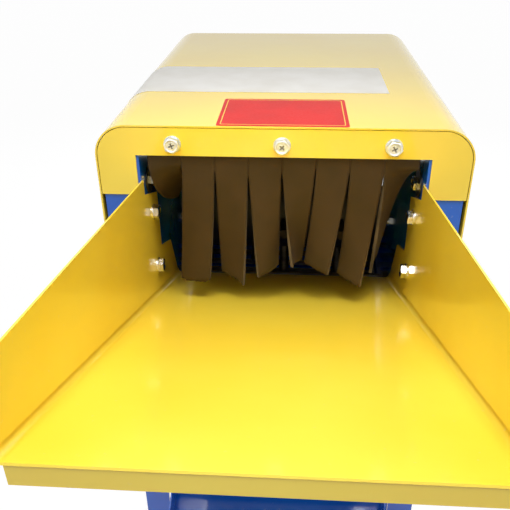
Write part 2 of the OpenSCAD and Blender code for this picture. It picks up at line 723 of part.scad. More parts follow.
// Motor barrel with cooling fins, end shield and feet
module motor_housing() color("dimgray") front() translate([0, motor_y, motor_z]) difference() {
    x0 = motor_face_x - motor_l;
    union() {
        x_cyl(x0 + 14, motor_l - 28, motor_d / 2 - 8);
        for (x = [x0, motor_face_x - 14]) x_cyl(x, 14, motor_d / 2);
        for (a = [0 : 15 : 345]) if (abs(a - 270) > 32 && abs(a - 180) > 20) rotate([a, 0, 0])
            translate([x0 + 14, motor_d / 2 - 10, -1.2]) cube([motor_l - 28, 9, 2.4]);
        x_cyl(motor_face_x, 5, 30);
        for (x = motor_bolt_x) translate([x - 17, -motor_foot_y / 2 - 16, -motor_h]) cube([34, motor_foot_y + 32, 9]);
        for (x = motor_bolt_x) translate([x - 8, -foot_web_w / 2, -motor_h + 5])
            cube([16, foot_web_w, foot_web_h]);
    }
    x_cyl(x0 - 1, motor_l + 10, motor_shaft_d / 2 + shaft_gap);
    x_cyl(x0 + 10, motor_l - 20, motor_d / 2 - 16);
    for (x = motor_bolt_x) for (s = [-1, 1])
        translate([x, s * motor_foot_y / 2, -motor_h - 1]) cylinder(h = 12, r = bolt_d / 2 + run_gap);
}

// Cover over the motor's fan with a slotted end
module motor_fan_cover() color("dimgray") front() translate([motor_face_x - motor_l, motor_y, motor_z]) difference() {
    x_cyl(-fan_l, fan_l, motor_d / 2);
    x_cyl(-fan_l + sheet, fan_l, motor_d / 2 - sheet);
    for (y = [-54 : 12 : 54]) translate([-fan_l - 1, y - 3, -sqrt(pow(60, 2) - pow(y, 2)) - 2])
        cube([sheet + 2, 6, 2 * sqrt(pow(60, 2) - pow(y, 2)) + 4]);
}
fan_l = 50;

// Rotor shaft of the motor with its fan and key end
module motor_shaft() color("silver") front() translate([0, motor_y, motor_z]) {
    x0 = motor_face_x - motor_l;
    x_cyl(x0 - 36, belt_x + pulley_w / 2 + 2 - x0 + 36, motor_shaft_d / 2);
    x_cyl(x0 + 30, motor_l - 60, motor_d / 2 - 22);
    x_cyl(x0 - 32, 18, 22);
    for (a = [0 : 45 : 315]) rotate([a, 0, 0]) translate([x0 - 32, 20, -1.5]) cube([20, 40, 3]);
}

// Bolts that hold the motor's feet to the rails
module motor_bolts() color("silver") front() for (x = motor_bolt_x) for (s = [-1, 1])
    translate([x, motor_y + s * motor_foot_y / 2, motor_z - motor_h + 9]) rotate([180, 0, 0])
        bolt_set(9 + motor_rail_t);

// Terminal box on the motor's side
module terminal_box() color("dimgray") front() difference() {
    union() {
        translate([terminal_x, terminal_y, motor_z - terminal_h / 2]) cube([terminal_w, terminal_l, terminal_h]);
        translate([terminal_x + terminal_w / 2 - 16, terminal_y + terminal_l - 1, motor_z - 14]) cube([32, 20, 28]);
    }
    x_cyl(motor_face_x - motor_l, motor_l, motor_d / 2 - 8 + rest_seam, motor_y, motor_z);
}

// Cross-section of a V pulley from its bore out
module pulley(d, bore_r, x0) translate([x0, 0, 0]) rotate([0, 90, 0]) rotate_extrude() polygon([
    [bore_r, 0], [d / 2 + 4, 0], [d / 2 + 4, (pulley_w - belt_w) / 2],
    [d / 2 - belt_h + 0.5, pulley_w / 2 - belt_w / 2 + 3], [d / 2 - belt_h + 0.5, pulley_w / 2 + belt_w / 2 - 3],
    [d / 2 + 4, (pulley_w + belt_w) / 2], [d / 2 + 4, pulley_w], [bore_r, pulley_w]
]);
module rotor_pulley() color("dimgray") front() translate([0, rotor_y, -rotor_drop])
    pulley(rotor_pulley_d, shaft_d / 2 + rest_seam, belt_x - pulley_w / 2);
module motor_pulley() color("dimgray") front() translate([0, motor_y, motor_z])
    pulley(motor_pulley_d, motor_shaft_d / 2 + rest_seam, belt_x - pulley_w / 2);

// Belt geometry: line between the two shaft centres in the (y, z) plane
belt_dy = motor_y - rotor_y;
belt_dz = motor_z + rotor_drop;
belt_c = norm([belt_dy, belt_dz]);
belt_dir = atan2(belt_dz, belt_dy);
belt_tilt = asin((rotor_pulley_d - motor_pulley_d) / 2 / belt_c);

// Belt section as (radial, across) from the belt's outer face
BELT_SECTION = [
    [-belt_h, -belt_w / 2 + 3.2], [-belt_h, belt_w / 2 - 3.2],
    [0, belt_w / 2 - 1], [0, -belt_w / 2 + 1]
];

// Stations along the belt: centre y, z, outer radius and angle
function belt_stations() = let (
    r1 = rotor_pulley_d / 2 + 1.5,
    r2 = motor_pulley_d / 2 + 1.5,
    wrap1 = 180 + 2 * belt_tilt,
    wrap2 = 180 - 2 * belt_tilt
) concat(
    [for (k = [0 : 24]) [0, 0, r1, belt_dir + 90 - belt_tilt + wrap1 * k / 24]],
    [for (k = [0 : 18]) [belt_dy, belt_dz, r2, belt_dir - 90 + belt_tilt + wrap2 * k / 18]]
);

// Belt round both pulleys, as one closed loop of its section
module v_belt() color("black") front() translate([belt_x, rotor_y, -rotor_drop]) {
    stations = belt_stations();
    m = len(stations);
    points = [for (s = stations) for (p = BELT_SECTION)
        [p[1], s[0] + (s[2] + p[0]) * cos(s[3]), s[1] + (s[2] + p[0]) * sin(s[3])]];
    polyhedron(points = points, faces = [for (k = [0 : m - 1]) for (j = [0 : 3]) let (
        a = 4 * k + j,
        b = 4 * k + (j + 1) % 4,
        c = 4 * ((k + 1) % m) + (j + 1) % 4,
        d = 4 * ((k + 1) % m) + j
    ) each [[a, d, c], [a, c, b]]]);
}

// Belt guard on the right side, closed all round but open at the shafts
module guard_outline(grow) {
    r1 = rotor_pulley_d / 2 + guard_gap + grow;
    r2 = motor_pulley_d / 2 + guard_gap + grow;
    hull() {
        circle(r1, $fn = 48);
        translate([belt_dy, belt_dz]) circle(r2, $fn = 48);
    }
}
module belt_guard() color("gold") front() {
    guard_shell();
    for (y = [rotor_y - 26, rotor_y + 54]) translate([side_out, y, -chamber_drop + 14])
        cube([guard_in_x - side_out, 14, 20]);
}
module guard_shell() difference() {
    translate([0, rotor_y, -rotor_drop]) difference() {
        yz_plate(guard_in_x, guard_out_x - guard_in_x) guard_outline(sheet);
        yz_plate(guard_in_x + sheet, guard_out_x - guard_in_x - 2 * sheet) guard_outline(0);
    }
    x_cyl(guard_in_x - 1, sheet + 2, shaft_d / 2 + 6, rotor_y, -rotor_drop);
    x_cyl(guard_in_x - 1, sheet + 2, motor_shaft_d / 2 + 16, motor_y, motor_z);
    for (k = [-2 : 2]) translate([guard_out_x - sheet - 1, rotor_y + belt_dy / 2 + k * 14 - 3,
        -rotor_drop + (belt_dz - guard_slot_h) / 2]) cube([sheet + 2, 6, guard_slot_h]);
}

// Switch box on the left front leg, with a recess for the rocker
module switch_box() color("dimgray") front() left_side() difference() {
    translate([body_half, leg_front, switch_z]) cube([switch_w, switch_l, switch_h]);
    translate([body_half + 3, leg_front + 3 + 14, switch_z + 3]) cube([switch_w - 6, switch_l - 20, switch_h - 6]);
    translate([rocker_x - rocker_w / 2 - run_gap, leg_front - 1, rocker_z - rocker_h / 2 - run_gap - 1])
        cube([rocker_w + 2 * run_gap, 13, rocker_h + 2 * run_gap + 2]);
    x_cyl(rocker_x - rocker_w / 2 - 4, rocker_w + 8, 2 + shaft_gap, leg_front + rocker_pin_y, rocker_z);
    translate([rocker_x, leg_front + switch_l - gland_in, switch_z - 1]) cylinder(h = 5, r = 10 + run_gap);
}
rocker_x = body_half + switch_w / 2;
rocker_z = switch_z + switch_h - 32;
rocker_pin_y = 7;

// Rocker that tilts on its pin
module switch_rocker() color("red") front() left_side() {
    x0 = rocker_x - rocker_w / 2;
    yz_plate(x0, rocker_w) polygon([
        [leg_front + 4, rocker_z - rocker_h / 2 + 1], [leg_front + 10, rocker_z - 5],
        [leg_front + 10, rocker_z + 5], [leg_front + 4, rocker_z + rocker_h / 2 - 1],
        [leg_front - 3, rocker_z + rocker_h / 2 - 1], [leg_front + 1, rocker_z],
        [leg_front, rocker_z - rocker_h / 2 + 1]
    ]);
    x_cyl(x0 - 3.5, rocker_w + 7, 2, leg_front + rocker_pin_y, rocker_z);
}

// Cable glands: the lead's inlet under the switch box and the one on the terminal box
module cable_gland() color("black") front() {
    translate([-rocker_x, leg_front + switch_l - gland_in, switch_z]) rotate([180, 0, 0]) gland();
    translate([terminal_x + terminal_w / 2, terminal_y + gland_in, motor_z - terminal_h / 2])
        rotate([180, 0, 0]) gland();
}
module gland() difference() {
    union() {
        hex(24, 6);
        cylinder(h = 14, r = 10);
        translate([0, 0, 14]) cylinder(h = 6, r1 = 10, r2 = 7);
    }
    translate([0, 0, -1]) cylinder(h = 30, r = 4);
}

// Hood shell: inverted U of yellow sheet
module hood_shell() color("gold") front() difference() {
    xz_plate(0, hood_len) dome_ring(hood_out, hood_top, corner_r + hood_gap + sheet, sheet, -skirt);
    x_cyl(-hood_out - 1, 2 * hood_out + 2, bolt_d / 2 + shaft_gap, knob_y, -knob_drop);
}

// Rear wall of the hood
module hood_rear_wall() color("gold") front() xz_plate(hood_len - sheet, sheet)
    dome(hood_in - rest_seam, plate_top + hood_gap - rest_seam, -hinge_drop + 2, corner_r + hood_gap - rest_seam);

// Bare white plate: a thin sheet bent over the hood's left corner
module white_plate() color("white") front() xz_plate(white_y, white_l) intersection() {
    dome_ring(hood_out + rest_seam + label_t, hood_top + rest_seam + label_t,
        corner_r + hood_gap + sheet + rest_seam + label_t, label_t, -skirt);
    translate([-hood_out - 1, hood_top - white_drop]) square([hood_out + 1 + white_right, white_drop + 1]);
}

// Bare red plate on the hood's top
module red_plate() color("firebrick") front() translate([-red_w / 2, red_y, hood_top]) cube([red_w, red_l, label_t]);

// Star knob with its screw through the hood's skirt
module knob() front() translate([0, knob_y, -knob_drop]) {
    x_cyl(body_half - 10, hood_out - body_half + 22, bolt_d / 2);
    x_cyl(hood_out + run_gap, 6, bolt_d / 2 + 4);
    yz_plate(hood_out + run_gap + 5.5, 12) {
        circle(knob_d / 2 - 4);
        for (a = [0 : 72 : 288]) rotate(a) translate([knob_d / 2 - 5, 0]) circle(5);
    }
}
module knob_left() color("black") left_side() knob();
module knob_right() color("black") knob();

// Steel shaft of the rotor
module rotor_shaft() color("silver") front()
    x_cyl(-side_out - bearing_ring_l - 3, side_out + bearing_ring_l + 3 + belt_x + pulley_w / 2 + 3, shaft_d / 2, rotor_y, -rotor_drop);

// Drum tube with end discs
module rotor_drum() color("black") front() translate([0, rotor_y, -rotor_drop]) difference() {
    x_cyl(-drum_l / 2, drum_l, drum_d / 2);
    x_cyl(-drum_l / 2 + 8, drum_l - 16, drum_d / 2 - drum_wall);
    x_cyl(-drum_l / 2 - 1, drum_l + 2, shaft_d / 2 + rest_seam);
}

// Shelling pegs in staggered rows, seated on the drum
module rotor_pegs() color("gray") front() translate([0, rotor_y, -rotor_drop]) {
    pitch = (drum_l - 30) / (pegs_per_row - 1);
    for (r = [0 : peg_rows - 1]) for (k = [0 : pegs_per_row - 1])
        rotate([(r + (k % 2) / 2) * 360 / peg_rows, 0, 0]) translate([-drum_l / 2 + 15 + k * pitch, 0, 0]) peg();
}
module peg() difference() {
    translate([0, 0, drum_d / 2 - peg_d / 2]) cylinder(h = peg_h + peg_d / 2, r = peg_d / 2);
    x_cyl(-peg_d, 2 * peg_d, drum_d / 2 + rest_seam);
}

leg_front_left();
leg_front_right();
leg_rear_left();
leg_rear_right();
top_rail_left();
top_rail_right();
lower_frame();
motor_rails();
front_panel();
rear_panel();
side_wall_left();
side_wall_right();
kernel_chute();
cob_chute();
concave_grate();
hood_front_plate();
hood_seal();
clamp_bar();
curtain_band();
curtain_bolts();
hopper_floor();
hopper_wall_left();
hopper_wall_right();
hopper_bolts();
side_wall_bolts();
bearing_left();
bearing_right();
bearing_bolts();
hinge_fixed_leaf();
hinge_pin();
motor_housing();
motor_fan_cover();
motor_bolts();
terminal_box();
v_belt();
belt_guard();
switch_box();
cable_gland();
hood_shell();
hood_rear_wall();
hinge_moving_leaf();
white_plate();
red_plate();
knob_left();
knob_right();
rotor_shaft();
rotor_drum();
rotor_pegs();
rotor_pulley();
motor_shaft();
motor_pulley();
switch_rocker();
strip(0);  // strip_1
strip(1);  // strip_2
strip(2);  // strip_3
strip(3);  // strip_4
strip(4);  // strip_5
strip(5);  // strip_6
strip(6);  // strip_7
strip(7);  // strip_8
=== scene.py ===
"""Electric corn sheller: yellow and blue sheet steel, a rubber curtain and a belt drive."""
import json
import math
import random

import bmesh
import bpy
from mathutils import Matrix, Vector


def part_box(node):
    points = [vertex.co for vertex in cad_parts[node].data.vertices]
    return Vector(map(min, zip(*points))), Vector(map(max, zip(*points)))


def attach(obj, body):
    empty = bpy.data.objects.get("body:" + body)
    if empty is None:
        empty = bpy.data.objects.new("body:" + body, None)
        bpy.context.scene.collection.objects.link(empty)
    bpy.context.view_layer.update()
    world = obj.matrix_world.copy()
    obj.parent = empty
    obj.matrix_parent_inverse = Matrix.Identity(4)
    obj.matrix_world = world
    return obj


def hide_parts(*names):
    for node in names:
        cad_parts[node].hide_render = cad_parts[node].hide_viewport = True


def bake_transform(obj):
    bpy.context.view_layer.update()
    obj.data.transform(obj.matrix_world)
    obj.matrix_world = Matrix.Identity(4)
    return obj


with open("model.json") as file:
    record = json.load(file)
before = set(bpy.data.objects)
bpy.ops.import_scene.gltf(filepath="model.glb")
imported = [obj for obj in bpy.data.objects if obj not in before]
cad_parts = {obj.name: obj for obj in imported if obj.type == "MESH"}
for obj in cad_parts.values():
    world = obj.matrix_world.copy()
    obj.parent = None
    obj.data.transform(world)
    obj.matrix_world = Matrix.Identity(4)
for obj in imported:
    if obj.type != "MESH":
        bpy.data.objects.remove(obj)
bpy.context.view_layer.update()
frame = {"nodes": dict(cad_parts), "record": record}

MM = 0.001

# The front datum is the front face of the hood plate, at the height of its three bolts
PLATE_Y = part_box("hood_front_plate")[0].y
BOLT_Z = (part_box("curtain_bolts")[0].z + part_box("curtain_bolts")[1].z) / 2


def at(x, y, z):
    """Point given in millimetres from the front datum, in metres in the frame."""
    return Vector((x * MM, PLATE_Y + y * MM, BOLT_Z + z * MM))


def box_mm(node):
    """Lowest and highest corners of a node, in millimetres from the front datum."""
    return [(corner - at(0, 0, 0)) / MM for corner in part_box(node)]


def middle_mm(node):
    """Middle of a node's box, in millimetres from the front datum."""
    low, high = box_mm(node)
    return (low + high) / 2


# Camera: place from the middle front bolt in millimetres, turns in degrees, lens and sensor in millimetres
CAMERA_FROM_BOLT = (12.6, -549.7, 197.4)
CAMERA_YAW = 3.948
CAMERA_DOWN = 29.478
CAMERA_ROLL = -0.50
CAMERA_LENS = 45.0
SENSOR_W = 36.0

camera = bpy.data.objects.new("camera", bpy.data.cameras.new("camera"))
bpy.context.scene.collection.objects.link(camera)
camera.data.lens = CAMERA_LENS
camera.data.sensor_width = SENSOR_W
camera.data.clip_start = 0.01
camera.matrix_world = (
    Matrix.Translation(at(*CAMERA_FROM_BOLT))
    @ Matrix.Rotation(math.radians(CAMERA_YAW), 4, "Z")
    @ Matrix.Rotation(math.radians(90 - CAMERA_DOWN), 4, "X")
    @ Matrix.Rotation(math.radians(CAMERA_ROLL), 4, "Z")
)
bpy.context.scene.camera = camera
bpy.context.scene.view_settings.view_transform = "Standard"


# Materials

def colour(hex_text):
    """Linear RGBA of an sRGB hex colour."""
    parts = [int(hex_text[k:k + 2], 16) / 255 for k in (1, 3, 5)]
    linear = [c / 12.92 if c <= 0.04045 else ((c + 0.055) / 1.055) ** 2.4 for c in parts]
    return (*linear, 1.0)


def scale_of(size_mm):
    """Texture scale that gives a pattern of this size on coordinates in metres."""
    return 1.0 / (size_mm * MM)


def add(tree, kind, settings, links=()):
    """Adds a node with its settings and its links; a link names an input and gives a node or a socket."""
    made = tree.nodes.new("ShaderNode" + kind)
    for name, value in settings.items():
        if isinstance(name, str) and hasattr(made, name):
            setattr(made, name, value)
        else:
            made.inputs[name].default_value = value
    for name, source in dict(links).items():
        socket = source if isinstance(source, bpy.types.NodeSocket) else source.outputs[0]
        tree.links.new(socket, made.inputs[name])
    return made


def start_material(name):
    """An empty material; gives it, its tree and the object's own coordinates in metres."""
    made = bpy.data.materials.new(name)
    made.use_nodes = True
    made.node_tree.nodes.clear()
    place = add(made.node_tree, "TexCoord", {}).outputs["Object"]
    return made, made.node_tree, place


def powder_coat(name, full, thin, dust):
    """Polyester powder coat on pressed sheet: an even, saturated colour under a glassy skin, with a
    faint orange peel, slow waves from the press and a little dust that dulls the gloss."""
    made, tree, place = start_material(name)
    clouds = add(tree, "TexNoise", {"Scale": scale_of(140), "Detail": 3.0}, {"Vector": place})
    depth = add(tree, "MapRange", {"From Min": 0.35, "From Max": 0.65}, {"Value": clouds})
    coat = add(tree, "MixRGB", {"Color1": colour(full), "Color2": colour(thin)}, {"Fac": depth})
    specks = add(tree, "TexNoise", {"Scale": scale_of(3.5), "Detail": 4.0}, {"Vector": place})
    few = add(tree, "MapRange", {"From Min": 0.69, "From Max": 0.76, "To Max": 0.3}, {"Value": specks})
    dusty = add(tree, "MixRGB", {"Color2": colour(dust)}, {"Fac": few, "Color1": coat})
    smears = add(tree, "TexNoise", {"Scale": scale_of(45), "Detail": 5.0}, {"Vector": place})
    gloss = add(tree, "MapRange", {"From Min": 0.3, "From Max": 0.7, "To Min": 0.12, "To Max": 0.2},
                {"Value": smears})
    waves = add(tree, "TexNoise", {"Scale": scale_of(110), "Detail": 0.0}, {"Vector": place})
    pressed = add(tree, "Bump", {"Strength": 0.2, "Distance": 0.6 * MM}, {"Height": waves})
    # Real orange peel is about 1.5 mm; 3 mm shows at this distance
    peel = add(tree, "TexNoise", {"Scale": scale_of(3), "Detail": 1.0}, {"Vector": place})
    skin_bump = add(tree, "Bump", {"Strength": 0.18, "Distance": 0.04 * MM},
                    {"Height": peel, "Normal": pressed})
    shader = add(tree, "BsdfPrincipled", {"IOR": 1.5, "Coat Weight": 0.3, "Coat Roughness": 0.06},
                 {"Base Color": dusty, "Roughness": gloss, "Normal": skin_bump})
    add(tree, "OutputMaterial", {}, {"Surface": shader})
    return made


def zinc(name, bright, bloom, rough):
    """Zinc plating on a cold-headed fastener: a silvery mirror broken by the header's fine marks, with
    a straw bloom where the passivation is thicker."""
    made, tree, place = start_material(name)
    clouds = add(tree, "TexNoise", {"Scale": scale_of(5), "Detail": 3.0}, {"Vector": place})
    thick = add(tree, "MapRange", {"From Min": 0.35, "From Max": 0.7}, {"Value": clouds})
    tone = add(tree, "MixRGB", {"Color1": colour(bright), "Color2": colour(bloom)}, {"Fac": thick})
    marks = add(tree, "TexNoise", {"Scale": scale_of(1.2), "Detail": 3.0}, {"Vector": place})
    gloss = add(tree, "MapRange", {"From Min": 0.3, "From Max": 0.7, "To Min": rough, "To Max": rough + 0.12},
                {"Value": marks})
    dents = add(tree, "Bump", {"Strength": 0.4, "Distance": 0.02 * MM}, {"Height": marks})
    shader = add(tree, "BsdfPrincipled", {"Metallic": 1.0},
                 {"Base Color": tone, "Roughness": gloss, "Normal": dents})
    add(tree, "OutputMaterial", {}, {"Surface": shader})
    return made


def sheet_rubber(name, face, bloomed, rough, pore_mm, pore_depth_mm):
    """Calendered rubber sheet: a dark warm brown-black with a dry bloom, matt, with fine pores that
    take the gloss off; a knife-cut edge is paler and rougher."""
    made, tree, place = start_material(name)
    clouds = add(tree, "TexNoise", {"Scale": scale_of(26), "Detail": 3.0}, {"Vector": place})
    bloom = add(tree, "MapRange", {"From Min": 0.35, "From Max": 0.75}, {"Value": clouds})
    tone = add(tree, "MixRGB", {"Color1": colour(face), "Color2": colour(bloomed)}, {"Fac": bloom})
    dull = add(tree, "MapRange", {"From Min": 0.3, "From Max": 0.7, "To Min": rough, "To Max": rough + 0.12},
               {"Value": clouds})
    pores = add(tree, "TexNoise", {"Scale": scale_of(pore_mm), "Detail": 2.0}, {"Vector": place})
    pits = add(tree, "Bump", {"Strength": 0.35, "Distance": pore_depth_mm * MM}, {"Height": pores})
    shader = add(tree, "BsdfPrincipled",
                 {"Specular IOR Level": 0.3, "Sheen Weight": 0.02, "Sheen Roughness": 0.5},
                 {"Base Color": tone, "Roughness": dull, "Normal": pits})
    add(tree, "OutputMaterial", {}, {"Surface": shader})
    return made


def bare_steel(name, steel, scale_tone, rough, streak):
    """Bare steel, hot-rolled or ground: metal in two tones, with its scale or grinding lines drawn
    out along the work by the streak's stretch."""
    made, tree, place = start_material(name)
    along = add(tree, "Mapping", {"Scale": streak}, {"Vector": place})
    patches = add(tree, "TexNoise", {"Scale": scale_of(9), "Detail": 5.0}, {"Vector": along})
    worn = add(tree, "MapRange", {"From Min": 0.3, "From Max": 0.7}, {"Value": patches})
    tone = add(tree, "MixRGB", {"Color1": colour(steel), "Color2": colour(scale_tone)}, {"Fac": worn})
    lines = add(tree, "TexNoise", {"Scale": scale_of(1.5), "Detail": 4.0}, {"Vector": along})
    gloss = add(tree, "MapRange", {"From Min": 0.3, "From Max": 0.7, "To Min": rough, "To Max": rough + 0.2},
                {"Value": lines})
    grooves = add(tree, "Bump", {"Strength": 0.5, "Distance": 0.03 * MM}, {"Height": lines})
    shader = add(tree, "BsdfPrincipled", {"Metallic": 1.0},
                 {"Base Color": tone, "Roughness": gloss, "Normal": grooves})
    add(tree, "OutputMaterial", {}, {"Surface": shader})
    return made


def enamel(name, full, rubbed, grain_mm, grain_depth_mm, rough):
    """Enamel or primer sprayed on a sand casting or rough steel: satin, a little uneven in tone, with
    the sand grain telegraphing through."""
    made, tree, place = start_material(name)
    clouds = add(tree, "TexNoise", {"Scale": scale_of(30), "Detail": 4.0}, {"Vector": place})
    rub = add(tree, "MapRange", {"From Min": 0.35, "From Max": 0.7}, {"Value": clouds})
    tone = add(tree, "MixRGB", {"Color1": colour(full), "Color2": colour(rubbed)}, {"Fac": rub})
    grain = add(tree, "TexNoise", {"Scale": scale_of(grain_mm), "Detail": 3.0}, {"Vector": place})
    gloss = add(tree, "MapRange", {"From Min": 0.3, "From Max": 0.7, "To Min": rough, "To Max": rough + 0.15},
                {"Value": grain})
    sand = add(tree, "Bump", {"Strength": 0.5, "Distance": grain_depth_mm * MM}, {"Height": grain})
    shader = add(tree, "BsdfPrincipled", {"IOR": 1.5},
                 {"Base Color": tone, "Roughness": gloss, "Normal": sand})
    add(tree, "OutputMaterial", {}, {"Surface": shader})
    return made


def moulded(name, full, pale, rough, spark_mm):
    """Injection-moulded ABS, or calendered vinyl film: an even colour and a fine spark-eroded grain
    that spreads the highlights."""
    made, tree, place = start_material(name)
    clouds = add(tree, "TexNoise", {"Scale": scale_of(40), "Detail": 3.0}, {"Vector": place})
    age = add(tree, "MapRange", {"From Min": 0.4, "From Max": 0.7}, {"Value": clouds})
    tone = add(tree, "MixRGB", {"Color1": colour(full), "Color2": colour(pale)}, {"Fac": age})
    grain = add(tree, "TexNoise", {"Scale": scale_of(spark_mm), "Detail": 2.0}, {"Vector": place})
    gloss = add(tree, "MapRange", {"From Min": 0.3, "From Max": 0.7, "To Min": rough, "To Max": rough + 0.1},
                {"Value": grain})
    sparks = add(tree, "Bump", {"Strength": 0.3, "Distance": 0.03 * MM}, {"Height": grain})
    shader = add(tree, "BsdfPrincipled", {"IOR": 1.53},
                 {"Base Color": tone, "Roughness": gloss, "Normal": sparks})
    add(tree, "OutputMaterial", {}, {"Surface": shader})
    return made


FINISHES = {
    "yellow_paint": powder_coat("yellow_powder_coat", "#FADC48", "#F8D63E", "#E8D28A"),
    "blue_paint": powder_coat("blue_powder_coat", "#0A58C6", "#0F60CC", "#8CA0B8"),
    "zinc_plate": zinc("bright_zinc", "#E2E1DC", "#CFC8B0", 0.14),
    "dark_steel": bare_steel("hot_rolled_steel", "#3A3835", "#5A5550", 0.42, (0.3, 1, 1)),
    "bright_steel": bare_steel("ground_steel", "#A9A8A4", "#8C8B88", 0.22, (0.08, 1, 1)),
    # The drum's black enamel is painted shade: it makes the inside of the chamber dark
    "drum_paint": enamel("drum_enamel_painted_shade", "#18181A", "#262422", 1.6, 0.1, 0.45),
    "cast_iron": enamel("grey_casting_enamel", "#3D4145", "#4C5054", 2.2, 0.18, 0.42),
    "motor_paint": enamel("motor_enamel", "#4A5A68", "#566674", 1.8, 0.12, 0.35),
    "black_rubber": sheet_rubber("rubber_sheet", "#35260A", "#402E12", 0.6, 0.9, 0.06),
    "black_plastic": moulded("black_abs", "#17171A", "#202024", 0.42, 0.8),
    "red_plastic": moulded("red_abs", "#B3110E", "#C01A14", 0.25, 0.8),
    "white_vinyl": moulded("white_vinyl_film", "#ECEAE4", "#E4E1D9", 0.5, 1.6),
    "red_vinyl": moulded("red_vinyl_film", "#D4150F", "#C8130D", 0.5, 1.6),
}
CUT_RUBBER = sheet_rubber("knife_cut_rubber", "#4A3F2E", "#6E5F48", 0.8, 0.7, 0.15)
PALE_ZINC = zinc("pale_zinc", "#E2E8F0", "#C6CDD6", 0.34)
# Grey enamel on the faces of the cross recesses, darker than the zinc: painted shade in the recesses
RECESS_PAINTED_SHADE = enamel("painted_shade_in_recess", "#A6A49C", "#8E8B82", 1.0, 0.1, 0.6)
DARK_WASHER = zinc("black_oxide_steel", "#3A3A3C", "#4C4A48", 0.3)
YELLOW_LINE = moulded("yellow_vinyl_film", "#F2CF3A", "#EBC52E", 0.3, 1.6)

node_slot = {row["node"]: row["material_slot"] for row in frame["record"]["subparts"]}
for name, piece in frame["nodes"].items():
    piece.data.materials.clear()
    piece.data.materials.append(FINISHES[node_slot[name]])


# Making pieces

def piece_from(name, slot_name, mesh, materials=None, body=None):
    """A new object from a bmesh, with its materials; it rides on the body, if one is given."""
    data = bpy.data.meshes.new(name)
    mesh.normal_update()
    mesh.to_mesh(data)
    mesh.free()
    made = bpy.data.objects.new(name, data)
    bpy.context.scene.collection.objects.link(made)
    for m in materials or (FINISHES[slot_name],):
        data.materials.append(m)
    if body:
        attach(made, body)
    return made


def soften(piece, width_mm, segments=2, angle=35):
    """Rounds a piece's sharp edges, as a deburred or coated edge is."""
    edge = piece.modifiers.new("edge", "BEVEL")
    edge.width = width_mm * MM
    edge.segments = segments
    edge.limit_method = "ANGLE"
    edge.angle_limit = math.radians(angle)
    edge.harden_normals = True
    for face in piece.data.polygons:
        face.use_smooth = True


def ring(mesh, place, sides, radius, height):
    """Ring of points in millimetres round the place's Z; radius and height may depend on the angle."""
    points = []
    for k in range(sides):
        turn = 2 * math.pi * k / sides
        r = radius(turn) if callable(radius) else radius
        z = height(turn) if callable(height) else height
        points.append(mesh.verts.new(place @ Vector((r * math.cos(turn), r * math.sin(turn), z))))
    return points


def skin(mesh, rings, material=0, caps=True):
    """Closed skin over a row of rings."""
    made = []
    for low, high in zip(rings, rings[1:]):
        for k in range(len(low)):
            n = (k + 1) % len(low)
            made.append(mesh.faces.new((low[k], low[n], high[n], high[k])))
    if caps:
        made.append(mesh.faces.new(list(reversed(rings[0]))))
        made.append(mesh.faces.new(rings[-1]))
    for face in made:
        face.material_index = material


# Rubber curtain: one sheet cut into eight strips, each bent and twisted as it hangs

# Tip corners of each strip, left then right, in millimetres: x from the strip's own root edge, y from
# the curtain and z from the front bolts
STRIP_TIPS = (
    ((10, 75, -88), (-8, 92, -72)),
    ((-8.5, 3, -148), (-7.6, -7, -144)),
    ((2.2, 12, -144), (-4.5, -11, -146)),
    ((8.8, -12, -136), (-2.4, 12, -133)),
    ((10.9, -12, -123), (-10.8, 17, -131)),
    ((-7.5, 10, -129), (-15.2, -11, -131)),
    ((-4.9, 10, -140), (-14, -12, -143)),
    ((-3.7, 6, -138), (-26, 36, -134)),
)
# How late each edge bends towards its tip: 1 is a straight slope from the root, less curls early
STRIP_BEND = ((2.6, 1.35), *[(1.8, 1.8)] * 6, (1.8, 0.5))
# An edge moves sideways no later than this
LATEST_FAN = 1.3
# Heights at which the slits and the two outer edges come free, from left to right
FREE_FROM = (-24, -22.1, -26.1, -30.9, -26.5, -21.9, -25.4, -29.4, -24)
# Bow of each strip's middle towards the front
BOW = (-2, 2.5, -2, 2, -2.5, 1.5, 2, -1.5)
CURTAIN_LOW, CURTAIN_HIGH = box_mm("curtain_band")
RUBBER_T = CURTAIN_HIGH.y - CURTAIN_LOW.y
RUBBER_Y = (CURTAIN_HIGH.y + CURTAIN_LOW.y) / 2
STRIP_PITCH = (CURTAIN_HIGH.x - CURTAIN_LOW.x) / len(STRIP_TIPS)
HALF_SLIT = 0.6
# How many times faster than its edges fall free a slit opens, and a strip is loose enough to bow
SLIT_OPENING = 25
LOOSENING = 8
# The bow grows with this power of the way down
BOW_GROWTH = 1.2
# How far ahead a strip's direction is read, as a share of its length
STEP_AHEAD = 0.01
FIRST_SEED = 40
# Height at which the strips join the band
CURTAIN_JOINT = -10
STRIP_ROWS = 30
STRIP_COLUMNS = 14
# Raggedness of each strip's lower end
FRAY = (0.5, 1.6, 1.1, 0.3, 0.3, 0.6, 0.9, 0.5)


def freed(k, side, z):
    """Share of a strip edge's free length above a height: 0 where the sheet is still whole."""
    free_z = FREE_FROM[k + side]
    return max(0.0, (free_z - z) / (free_z - STRIP_TIPS[k][side][2]))


def strip_edge_point(k, side, share):
    """Point on a strip's left (0) or right (1) edge, in millimetres; share runs from the root to the tip."""
    across, tip_y, tip_z = STRIP_TIPS[k][side]
    root_x = CURTAIN_LOW.x + (k + side) * STRIP_PITCH
    z = CURTAIN_JOINT + (tip_z - CURTAIN_JOINT) * share
    free = freed(k, side, z)
    opened = min(1.0, free * SLIT_OPENING) * (HALF_SLIT if side == 0 else -HALF_SLIT)
    bend = STRIP_BEND[k][side]
    x = root_x + opened + across * free ** min(LATEST_FAN, bend)
    return Vector((x, RUBBER_Y + tip_y * free ** bend, z))


